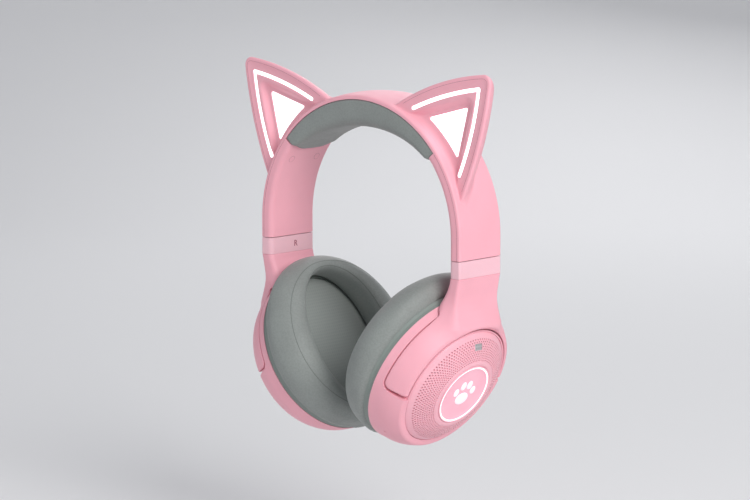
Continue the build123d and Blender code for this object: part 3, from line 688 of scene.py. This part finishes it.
def ear_field(points):
    """The ear with its skirt on the band, its slots for the lights and the hollow inside."""
    a, depth, b = points.T
    place = EAR_ORIGIN + a[:, None] * EAR_ACROSS - depth[:, None] * EAR_FRONT
    band = np.hypot(place[:, 0], b - ARCH_Z)
    factor = 1 - EAR_NARROW * (np.clip(depth, 0, EAR_DEPTH) / EAR_DEPTH) ** 1.6
    outline = factor * ear_outline(EAR_ROOT[0] + (a - EAR_ROOT[0]) / factor,
                                   EAR_ROOT[1] + (b - EAR_ROOT[1]) / factor)
    beside = round_max(-line_distance(TRIANGLE[0], TRIANGLE[1], a, b),
                       -line_distance(TRIANGLE[1], TRIANGLE[2], a, b), TRIANGLE_ROUND)
    inset = -ear_outline(a, b)
    relief = FACE_RELIEF * ease(inset, RIM_WIDTH, RIM_WIDTH + 2.4)
    relief = relief + LIGHT_RECESS * (1 - ease(beside, 1.6, 6.0))
    ear = round_max(outline, relief - depth, EAR_FACE_ROUND)
    ear = round_max(ear, depth - EAR_DEPTH, EAR_BACK_ROUND)
    front = 1.0 + relief
    skirt = front + (SKIRT_BLEND - front) * ease(depth - relief, 1.0, 4.0)
    top = band_top(place[:, 1], a, b) - UNDERLAP
    strap = round_max(band - top, np.abs(place[:, 1]) - BAND_HALF + UNDERLAP, REAR_ROUND)
    body = smooth_min(ear, strap, skirt)
    chevron = outline_distance(CHEVRON, a, b, closed=False) - CHEVRON_HALF
    body = smooth_max(body, -np.maximum(chevron, depth - CHEVRON_DEEP), SLOT_EDGE)
    triangle = round_max(beside, TRIANGLE_FOOT - band, TRIANGLE_ROUND)
    body = smooth_max(body, -np.maximum(triangle, depth - TRIANGLE_DEEP), SLOT_EDGE)
    hollow = np.maximum(np.maximum(outline + EAR_WALL, HOLLOW_FRONT - depth),
                        np.maximum(depth - HOLLOW_BACK, HOLLOW_FOOT - band))
    buried = np.maximum(top - 0.6 - band, ear - skirt - 0.4)
    return np.maximum(np.maximum(body, -hollow), buried)


local, faces = skin(ear_field, (15.0, -6.5, -50.0), (101.0, 20.5, 41.0), 0.55)
points = EAR_ORIGIN + local[:, :1] * EAR_ACROSS - local[:, 1:2] * EAR_FRONT
points += local[:, 2:] * (0, 0, 1)
for side, sign in SIDES:
    piece = make_piece(f"ear_{side}", points, faces, materials["pink"], sign)
    settle(piece, "headband", "pink_plastic", f"ear_shell_{side}", f"ear_face_{side}")

# ---------- cup faces
HOLES_ROUND = 104  # holes in each row
HOLE_ROWS = 10
HOLES_INSIDE, HOLES_OUTSIDE = 23.0, 35.6
HOLE_SIZE, HOLE_GROWTH = 0.47, 0.008  # radius of a hole, and what it gains per mm outwards
ROW_PITCH = (HOLES_OUTSIDE - HOLES_INSIDE) / HOLE_ROWS
DOME_CENTRE, DOME_RADIUS = circle_through((38.6, 0.0), (31.2, 5.1), (22.3, 8.5))
PLATE_THICK = 1.2
# The small window in the dome: its first half cell, its rows, and its width in half cells.
PORT_START, PORT_ROWS, PORT_SPAN = -3, (5, 6, 7), 7


def dome_u(radius):
    """Height of the dome's surface at a radius."""
    return DOME_CENTRE[1] + sqrt(DOME_RADIUS ** 2 - (radius - DOME_CENTRE[0]) ** 2)


def in_port(row, half):
    return row in PORT_ROWS and (half - PORT_START) % (2 * HOLES_ROUND) < PORT_SPAN


def cup_plate():
    """The perforated dome: rows of staggered holes cut right through, and a small window."""
    spots, faces, number = [], [], {}
    around = 2 * HOLES_ROUND

    def spot(radius, half, under=0, offset=(0.0, 0.0), height=None):
        """Index of a point, from its radius, its step round in half cells and its surface."""
        key = (round(radius, 4), half % around, under, offset, height)
        if key not in number:
            angle = pi * key[1] / HOLES_ROUND + offset[1] / radius
            place = radius + offset[0]
            high = dome_u(place) - under * PLATE_THICK if height is None else height
            number[key] = len(spots)
            spots.append((place * cos(angle), high, place * sin(angle)))
        return number[key]

    def wall(line):
        """Close the gap between the two surfaces along a line of (radius, step)."""
        for start, end in zip(line, line[1:]):
            faces.append([spot(*start), spot(*end), spot(*end, 1), spot(*start, 1)])

    compass = [(1, -1), (1.414, 0), (1, 1), (0, 1.414), (-1, 1), (-1.414, 0), (-1, -1), (0, -1.414)]
    for row in range(HOLE_ROWS):
        inner = HOLES_INSIDE + row * ROW_PITCH
        outer = inner + ROW_PITCH
        middle = (inner + outer) / 2
        hole = 0.707 * (HOLE_SIZE + HOLE_GROWTH * (middle - 20.0))
        ring = [(hole * a, hole * b) for a, b in compass]
        for cell in range(HOLES_ROUND):
            left = 2 * cell + row % 2
            covered = [in_port(row, left + k) for k in (0, 1)]
            if any(covered):
                for k in (0, 1):
                    if not covered[k]:
                        block = [(inner, left + k), (middle, left + k), (outer, left + k),
                                 (outer, left + k + 1), (middle, left + k + 1),
                                 (inner, left + k + 1)]
                        faces.extend([[spot(*at, under) for at in block] for under in (0, 1)])
                continue
            rim = [(outer, left), (outer, left + 1), (outer, left + 2), (middle, left + 2),
                   (inner, left + 2), (inner, left + 1), (inner, left), (middle, left)]
            for k in range(8):
                n = (k + 1) % 8
                for under in (0, 1):
                    faces.append([spot(*rim[k], under), spot(*rim[n], under),
                                  spot(middle, left + 1, under, ring[n]),
                                  spot(middle, left + 1, under, ring[k])])
                wall_of_hole = ((0, ring[k]), (0, ring[n]), (1, ring[n]), (1, ring[k]))
                faces.append([spot(middle, left + 1, under, offset)
                              for under, offset in wall_of_hole])
    low = HOLES_INSIDE + PORT_ROWS[0] * ROW_PITCH
    high = HOLES_INSIDE + (PORT_ROWS[-1] + 1) * ROW_PITCH
    last = PORT_START + PORT_SPAN
    for radius in (low, high):
        wall([(radius, PORT_START + k) for k in range(PORT_SPAN + 1)])
    for half in (PORT_START, last):
        wall([(low + k * ROW_PITCH / 2, half) for k in range(2 * len(PORT_ROWS) + 1)])
    edge = [(36.6, dome_u(36.6)), (37.7, dome_u(37.7)), (38.35, dome_u(38.35) - 0.02),
            (38.55, -0.3), (38.6, -1.35), (37.3, -1.35), (36.4, dome_u(36.4) - PLATE_THICK)]
    hub = [(22.5, 8.47), (22.2, 8.62), (21.8, 8.74), (20.7, 8.8), (20.3, 8.72), (20.15, 8.5),
           (20.15, 6.2), (21.9, 6.2), (22.4, dome_u(22.4) - PLATE_THICK)]
    for radius, profile in ((HOLES_OUTSIDE, edge), (HOLES_INSIDE, hub)):
        loops = [[spot(radius, half) for half in range(around)]]
        loops += [[spot(place, half, height=height) for half in range(around)]
                  for place, height in profile]
        loops.append([spot(radius, half, 1) for half in range(around)])
        for one, two in zip(loops, loops[1:]):
            faces.extend([one[k], one[k - 1], two[k - 1], two[k]] for k in range(around))
    return cup_points(*np.array(spots).T), faces


def port_mesh():
    """The woven patch behind the dome's small window."""
    spots, faces = [], []
    steps, rows = 14, 8
    margin, aside = 0.2, 0.3  # how far it runs past the window, in rows and in half cells
    for under in (0.45, 0.85):
        for i in range(rows + 1):
            row = PORT_ROWS[0] - margin + (len(PORT_ROWS) + 2 * margin) * i / rows
            radius = HOLES_INSIDE + row * ROW_PITCH
            for k in range(steps + 1):
                half = PORT_START - aside + (PORT_SPAN + 2 * aside) * k / steps
                angle = pi / HOLES_ROUND * half
                spots.append((radius * cos(angle), dome_u(radius) - under, radius * sin(angle)))
    wide, sheet = steps + 1, (rows + 1) * (steps + 1)
    for i in range(rows):
        for k in range(steps):
            at = i * wide + k
            quad = [at, at + 1, at + wide + 1, at + wide]
            faces += [quad, [n + sheet for n in quad]]
    rim = list(range(steps)) + [steps + i * wide for i in range(rows)]
    rim += [sheet - 1 - k for k in range(steps)] + [rows * wide - i * wide for i in range(rows)]
    faces += [[a, b, b + sheet, a + sheet] for a, b in zip(rim, rim[1:] + rim[:1])]
    return cup_points(*np.array(spots).T), faces


# Each pad of the paw: its place across and up, half its width and half its height.
PAW = ((0, -3.4, 5.4, 4.2), (-7.3, 1.8, 2.0, 2.8), (-2.7, 5.9, 2.1, 3.0), (2.7, 5.9, 2.1, 3.0),
       (7.3, 1.8, 2.0, 2.8))
PAW_BASE, PAW_RISE = 8.2, 0.95


def paw_print():
    """Five low domes that make a plain paw."""
    spots, faces = [], []
    rings, steps = 6, 28
    for across, up, half_width, half_height in PAW:
        first = len(spots)
        for ring in range(rings + 1):
            lean = pi / 2 * ring / rings
            for k in range(steps):
                angle = 2 * pi * k / steps
                spots.append((up + half_height * cos(lean) * sin(angle),
                              PAW_BASE + PAW_RISE * sin(lean) ** 0.8,
                              across + half_width * cos(lean) * cos(angle)))
        faces += [[first + r * steps + k, first + r * steps + (k + 1) % steps,
                   first + (r + 1) * steps + (k + 1) % steps, first + (r + 1) * steps + k]
                  for r in range(rings) for k in range(steps)]
        faces.append([first + k for k in range(steps)][::-1])
    return cup_points(*np.array(spots).T), faces


# Profiles turned about the cup's axis, as pairs of (radius, distance along the axis).
RING_BEZEL = [(20.05, 6.3), (20.05, 8.85), (19.85, 9.15), (19.5, 9.25), (19.3, 9.1), (19.3, 6.3)]
RING_LIGHT = [(19.25, 6.8), (19.25, 8.85), (19.0, 9.05), (18.5, 9.05), (18.2, 8.8), (18.2, 6.8)]
EMBLEM = [(0, 7.0), (0, 8.2), (5, 8.22), (10, 8.28), (14, 8.38), (16.6, 8.52), (17.7, 8.72),
          (18.0, 8.9), (18.15, 8.85), (18.15, 7.0)]
for side, sign in SIDES:
    body = f"cup_{side}"
    plate = make_piece(f"cup_face_{side}", *cup_plate(), materials["plate"], sign, sharp=35)
    settle(plate, body, "pink_plastic", f"cup_plate_{side}")
    patch = make_piece(f"port_mesh_{side}", *port_mesh(), materials["weave"], sign, sharp=35)
    settle(patch, body, "mesh_fabric")
    bezel = make_piece(f"ring_bezel_{side}", *turned(RING_BEZEL), materials["plate"], sign,
                       sharp=50)
    settle(bezel, body, "pink_plastic")
    glow = make_piece(f"ring_light_{side}", *turned(RING_LIGHT), materials["lit_pink"], sign,
                      sharp=60)
    settle(glow, body, "light_guide", f"light_ring_{side}")
    # Plain emblem plastic; its material adds painted glow.
    disc = make_piece(f"emblem_face_{side}", *turned(EMBLEM), materials["emblem"], sign, sharp=40)
    settle(disc, body, "emblem_plastic", f"emblem_disc_{side}")
    paw = make_piece(f"emblem_paw_{side}", *paw_print(), materials["paw"], sign, sharp=50)
    settle(paw, body, "emblem_plastic")


# ---------- cushions, pad and scrims
BLOW_FRAMES = 20
THREAD_RADIUS, THREAD_SINK = 0.22, 0.3  # the sink is a share of the thread's radius


def inflate(piece, held, limit, pressure=4.0):
    """Blow the cover up by cloth simulation, held along its seams, and cap how far it moves."""
    rest = np.array([vert.co[:] for vert in piece.data.vertices])
    group = piece.vertex_groups.new(name="held")
    group.add([int(k) for k in np.flatnonzero(held)], 1.0, "REPLACE")
    cloth = piece.modifiers.new("cloth", "CLOTH")
    settings = cloth.settings
    settings.quality = 6
    settings.mass = 0.25
    settings.tension_stiffness = settings.compression_stiffness = 12.0
    settings.bending_stiffness = 0.6
    settings.use_pressure = True
    settings.uniform_pressure_force = pressure
    settings.effector_weights.gravity = 0.0
    settings.vertex_group_mass = "held"
    cloth.point_cache.frame_start, cloth.point_cache.frame_end = 1, BLOW_FRAMES
    for frame in range(1, BLOW_FRAMES + 1):
        bpy.context.scene.frame_set(frame)
        evaluated = piece.evaluated_get(bpy.context.evaluated_depsgraph_get())
        blown = np.array([vert.co[:] for vert in evaluated.data.vertices])
    piece.modifiers.clear()
    piece.vertex_groups.clear()
    bpy.context.scene.frame_set(1)
    move = blown - rest
    length = np.linalg.norm(move, axis=1)
    rest = rest + move * (np.minimum(length, limit * MM) / np.maximum(length, 1e-9))[:, None]
    return rest


def finish_soft(piece, places):
    """Put the points in place, and subdivide the mesh smoothly."""
    piece.data.vertices.foreach_set("co", places.ravel())
    smoother = piece.modifiers.new("smooth", "SUBSURF")
    smoother.levels = smoother.render_levels = 1
    evaluated = piece.evaluated_get(bpy.context.evaluated_depsgraph_get())
    mesh = bpy.data.meshes.new_from_object(evaluated)
    piece.modifiers.clear()
    piece.data = mesh
    mesh.shade_smooth()


def seam(name, piece, loop, body):
    """A line of stitching that lies in the surface of a finished soft piece."""
    mesh = piece.data
    tree = BVHTree.FromPolygons([vert.co for vert in mesh.vertices],
                                [face.vertices for face in mesh.polygons])
    line = []
    for point in loop:
        place, normal, _, _ = tree.find_nearest(Vector(point) * MM)
        line.append(np.array(place - normal * THREAD_RADIUS * THREAD_SINK * MM) / MM)
    line = np.array(line)
    for _ in range(3):
        line = 0.5 * line + 0.25 * (np.roll(line, 1, 0) + np.roll(line, -1, 0))
    thread = make_piece(name, *tube(line, THREAD_RADIUS), materials["thread"])
    settle(thread, body, "leatherette")


CUSHION_SHIFT, CUSHION_FACE = 2.8, -48.0  # how far the cushion sits up, and where it ends
ROLL_CENTRE, ROLL_RADIUS = (36.8, -29.5), 18.5  # the round of the cushion's section
OPENING_HALF_H, OPENING_HALF_V, OPENING_BLEND = 33.0, 42.5, 9.0
START_SMALL = 0.7  # the cushion starts smaller, and the air fills it out


def on_roll(degrees):
    """A point on the round of the section, from its outer side over to its face."""
    turn = radians(degrees)
    return ROLL_CENTRE[0] + ROLL_RADIUS * cos(turn), ROLL_CENTRE[1] - ROLL_RADIUS * sin(turn)


CUSHION_SIDE = [(-30, -23.3), (50.2, -23.3), (51.2, -23.9), (53.2, -25.6), (54.6, -27.8)]
CUSHION_SIDE += [on_roll(k) for k in range(6, 91, 7)] + [(-30, CUSHION_FACE)]
SHOULDER = on_roll(52)


def cushion_shift(u):
    """How far the section sits up at a distance along the axis: the rim stays on the ring."""
    return 0.2 + (CUSHION_SHIFT - 0.2) * ease(-u, 23.5, 31.0)


def cushion_field(points):
    v, u, h = points.T
    across = np.hypot(h, v - cushion_shift(u))
    outside = outline_distance(CUSHION_SIDE, across, u) + START_SMALL * ease(-u, 24.5, 29.0)
    opening = 1 - np.hypot(h / OPENING_HALF_H, (v - CUSHION_SHIFT) / OPENING_HALF_V)
    return smooth_max(outside, opening * 36.0, OPENING_BLEND)


def cushion_loop(across_h, across_v, u, steps=240):
    """A loop round the cushion at a distance along the axis."""
    angle = np.linspace(0, 2 * pi, steps, endpoint=False)
    return cup_points(CUSHION_SHIFT + across_v * np.cos(angle), np.full(steps, u),
                      across_h * np.sin(angle))


local, faces = skin(cushion_field, (-54.0, -49.0, -57.0), (60.0, -21.0, 57.0), 2.1)
v, u, h = local.T
ring_distance = np.hypot(h, v - CUSHION_SHIFT)
opening_distance = np.hypot(h / OPENING_HALF_H, (v - CUSHION_SHIFT) / 42.0)
# The foot, the line of the shoulder seam and the line of the inner seam are held.
held = (u > -24.6) | (np.hypot(ring_distance - SHOULDER[0], u - SHOULDER[1]) < 1.3)
held |= (np.abs(opening_distance - 1.03) * 36 < 1.6) & (u < -38)
points = cup_points(*local.T)
for side, sign in SIDES:
    cushion = make_piece(f"cushion_{side}", points, faces, materials["leather"], sign)
    places = inflate(cushion, held, 1.5)
    places[:, 0] = sign * np.maximum(sign * places[:, 0], 0.35 * MM)
    finish_soft(cushion, places)
    settle(cushion, f"cup_{side}", "leatherette", f"ear_cushion_{side}")
    flip = np.array((sign, 1, 1))
    for name, loop in (("shoulder", cushion_loop(SHOULDER[0], SHOULDER[0], SHOULDER[1])),
                       ("inner", cushion_loop(34.6, 43.8, -43.0))):
        seam(f"cushion_{name}_seam_{side}", cushion, loop * flip, f"cup_{side}")


SCRIM_RADIUS, SCRIM_U, SCRIM_CROWN, SCRIM_THICK = 46.0, -23.1, 0.9, 0.35


def scrim_sheet():
    """The fabric stretched over the driver, crowned a little, with its thickness."""
    radii = np.linspace(0, SCRIM_RADIUS, 24)
    profile = [(r, SCRIM_U - SCRIM_CROWN * (1 - (r / SCRIM_RADIUS) ** 2)) for r in radii]
    return turned(profile + [(r, u + SCRIM_THICK) for r, u in profile[::-1]], 128)


for side, sign in SIDES:
    scrim = make_piece(f"scrim_sheet_{side}", *scrim_sheet(), materials["scrim"], sign, sharp=60)
    settle(scrim, f"cup_{side}", "scrim_fabric", f"scrim_{side}")


PAD_UNDER = 92.5  # radius of the underside, which passes through the origin
PAD_END = 49.65  # degrees from the crown to the pad's end
PAD_LOBE = 3.1  # how much further its middle reaches, in degrees
PAD_TOP = 77.72
CORE_HALF, CORE_TOP = 14.5, 71.3  # the room for the plate and the liner


def pad_field(points):
    """The pad round the plate under the crown."""
    x, y, z = points.T
    deep = np.abs(y)
    band = np.hypot(x, z - ARCH_Z)
    turn = np.abs(np.arctan2(x, z - ARCH_Z))
    under = PAD_UNDER - np.hypot(x, z + PAD_UNDER) + 1.2 * (deep / BAND_HALF) ** 2
    corner = 2.0 + 4.5 * (1 - np.clip(turn / radians(47.0), 0, 1) ** 3)
    body = round_max(under + 0.3, deep - BAND_HALF + 0.2, corner)
    below = 1 - ease(band, 70.6, 71.8)
    reach = PAD_END + PAD_LOBE * below * (1 - ease(deep, 7.0, 18.5))
    body = round_max(body, (turn - np.radians(reach)) * 72.0, 0.6 + 2.0 * below)
    body = smooth_max(body, band - PAD_TOP, 0.4)
    core = np.maximum(deep - CORE_HALF, CORE_TOP - band)
    return smooth_max(body, -core, 0.5)


local, faces = skin(pad_field, (-62.0, -21.0, -24.0), (62.0, 21.0, 19.0), 1.05)
pad = make_piece("head_pad", local, faces, materials["leather"])
top = np.hypot(local[:, 0], local[:, 2] - ARCH_Z)
lateral = np.abs(local[:, 1])
end = np.abs(np.arctan2(local[:, 0], local[:, 2] - ARCH_Z)) > radians(48.0)
held = (top > 76.0) | ((lateral < 14.9) & (top > 71.0)) | end
finish_soft(pad, inflate(pad, held, 0.9, 3.0))
settle(pad, "headband", "leatherette", "headband_pad")


# ---------- parting lines and side marks
LINE_RADIUS = 77.75  # where the headband's cover meets its liner
LINE_THICK, EAR_LINE_THICK = 0.11, 0.1  # radius of the rods that mark parting lines
PLUG_ANGLE, PLUG_Y, PLUG_RADIUS = 31.0, 11.0, 2.12
MARK_HEIGHT, MARK_Y, MARK_Z = 3.8, 2.8, -77.6


def strip(points, radius, sides=6):
    """Points and faces of a thin rod along an open line: half of a tube there and back."""
    rod, faces = tube(np.vstack([points, points[::-1] + 1e-4]), radius, sides)
    count = len(points)
    rod = rod[:count * sides]
    faces = [face for face in faces if max(face) < count * sides]
    faces += [list(range(sides)), list(range((count - 1) * sides, count * sides))]
    return rod, faces


def ear_rim(inset, steps=60):
    """Line on the ear's face, a distance inside its outline."""
    upper = arc_points((33.0, 17.5), (62.0, 29.0), (97.5, 35.5), steps)
    outer = arc_points((97.5, 35.5), (92.0, 9.0), (78.5, -32.0), steps)
    a, b = np.array(upper + outer[1:]).T
    for _ in range(6):
        miss = ear_outline(a, b) + inset
        slope_a = (ear_outline(a + 0.01, b) + inset - miss) / 0.01
        slope_b = (ear_outline(a, b + 0.01) + inset - miss) / 0.01
        steep = np.maximum(slope_a ** 2 + slope_b ** 2, 0.3)
        a, b = a - miss * slope_a / steep, b - miss * slope_b / steep
    return EAR_ORIGIN + a[:, None] * EAR_ACROSS - 0.03 * EAR_FRONT + b[:, None] * (0, 0, 1)


def parting_line(name, mesh, sign):
    """A dark rod that lies in the gap between two shells of the headband."""
    groove = make_piece(name, *mesh, materials["gap"], sign)
    settle(groove, "headband", "pink_plastic")


for place, y in (("front", -BAND_HALF + 0.02), ("rear", BAND_HALF - 0.02)):
    for side, sign in SIDES:
        angle = np.radians(np.linspace(50.5, 90.0, 60))
        line = [(LINE_RADIUS * sin(t), y, ARCH_Z + LINE_RADIUS * cos(t)) for t in angle]
        line.append((LINE_RADIUS, y, LEG_END))
        parting_line(f"band_line_{place}_{side}", strip(np.array(line), LINE_THICK), sign)

for side, sign in SIDES:
    parting_line(f"ear_line_{side}", strip(ear_rim(RIM_WIDTH), EAR_LINE_THICK), sign)

lean = radians(PLUG_ANGLE)
inward = np.array((-cos(lean), 0, -sin(lean)))
along = np.array((-sin(lean), 0, cos(lean)))
turn = np.linspace(0, 2 * pi, 40, endpoint=False)
for side, sign in SIDES:
    for row, y in (("front", -PLUG_Y), ("rear", PLUG_Y)):
        centre = np.array((0, y, ARCH_Z)) - inward * (BAND_INNER + 0.02)
        loop = centre + PLUG_RADIUS * (np.cos(turn)[:, None] * along + np.sin(turn)[:, None] * REAR)
        parting_line(f"plug_line_{row}_{side}", tube(loop, LINE_THICK, 6), sign)

for side, sign, letter in (("left", 1, "L"), ("right", -1, "R")):
    text = bpy.data.curves.new(f"side_mark_{side}", "FONT")
    text.body = letter
    text.size = MARK_HEIGHT * 1.35 * MM
    text.extrude = 0.05 * MM
    text.offset = 0.09 * MM
    text.align_x = "CENTER"
    text.align_y = "CENTER"
    text.materials.append(materials["gap"])
    mark = bpy.data.objects.new(f"side_mark_{side}", text)
    bpy.context.collection.objects.link(mark)
    mark.location = (sign * (BAND_INNER - 0.04) * MM, MARK_Y * MM, MARK_Z * MM)
    mark.rotation_euler = (pi / 2, 0, -sign * pi / 2)
    settle(mark, f"yoke_{side}", "collar_plastic")
